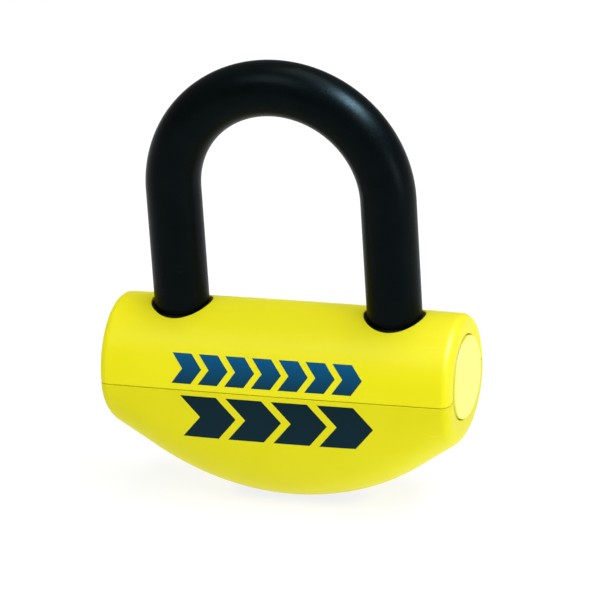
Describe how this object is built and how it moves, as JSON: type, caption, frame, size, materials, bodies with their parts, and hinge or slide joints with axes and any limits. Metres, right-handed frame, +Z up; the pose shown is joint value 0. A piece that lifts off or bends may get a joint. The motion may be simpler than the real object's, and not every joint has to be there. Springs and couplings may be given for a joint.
{
  "type": "disc brake lock",
  "caption": "D-shaped motorcycle brake disc lock: a coated black shackle locked by side bolts into a yellow barrel with a deep belly and a keyway underneath.",
  "frame": {"origin": "under the middle of the barrel, at the level of the belly's lowest point", "axes": "+X along the barrel, -Y out of the front face, +Z up towards the shackle's arch"},
  "size_m": [0.11, 0.0414, 0.1373],
  "materials": {
    "yellow_cover": "satin",
    "black_vinyl": "satin",
    "black_plastic": "matte",
    "shutter_black": "matte",
    "hardened_steel": "ground",
    "plain_steel": "turned",
    "plated_zinc": "nickel plated",
    "brass": "machined"
  },
  "bodies": {
    "crossbar": {"crossbar_tube": "plain_steel", "cover_upper": "yellow_cover", "cover_lower": "yellow_cover", "bolt_guide": "plain_steel", "guide_pins": "hardened_steel", "end_plug_left": "plain_steel", "end_plug_right": "plain_steel", "end_plug_pins": "hardened_steel", "end_cap_left": "yellow_cover", "end_cap_right": "yellow_cover", "leg_bush_left": "black_plastic", "leg_bush_right": "black_plastic", "cylinder_housing": "plated_zinc", "cylinder_guard": "plain_steel", "cylinder_pins": "hardened_steel", "hard_pins": "hardened_steel", "core_ring": "plated_zinc", "escutcheon": "black_plastic", "escutcheon_screws": "hardened_steel", "shutter_retainer": "plain_steel"},
    "shackle": {"shackle_bar": "hardened_steel", "shackle_sleeve": "black_vinyl"},
    "plug": {"core_barrel": "brass", "detainer_discs": "brass", "sidebar": "brass", "scroll_disc": "hardened_steel"},
    "left_bolt": {"bolt_left": "hardened_steel", "bolt_pin_left": "hardened_steel"},
    "right_bolt": {"bolt_right": "hardened_steel", "bolt_pin_right": "hardened_steel"},
    "shutter": {"keyhole_shutter": "shutter_black"}
  },
  "joints": [
    {"name": "shackle_lift", "type": "slide", "parent": "crossbar", "child": "shackle", "axis": [0, 0, 1], "range_m": [0, 0.06]},
    {"name": "plug_turn", "type": "hinge", "parent": "crossbar", "child": "plug", "pos_m": [0, 0, 0.0193], "axis": [0, 0, 1], "range_deg": [0, 90]},
    {"name": "bolt_left_slide", "type": "slide", "parent": "crossbar", "child": "left_bolt", "axis": [-1, 0, 0], "range_m": [0, 0.005]},
    {"name": "bolt_right_slide", "type": "slide", "parent": "crossbar", "child": "right_bolt", "axis": [1, 0, 0], "range_m": [0, 0.005]},
    {"name": "shutter_slide", "type": "slide", "parent": "crossbar", "child": "shutter", "axis": [1, 0, 0], "range_m": [0, 0.0091]}
  ],
  "couplings": [
    {"joint": "bolt_left_slide", "follows": "plug_turn", "m_per_rad": 0.003183},
    {"joint": "bolt_right_slide", "follows": "plug_turn", "m_per_rad": 0.003183}
  ]
}
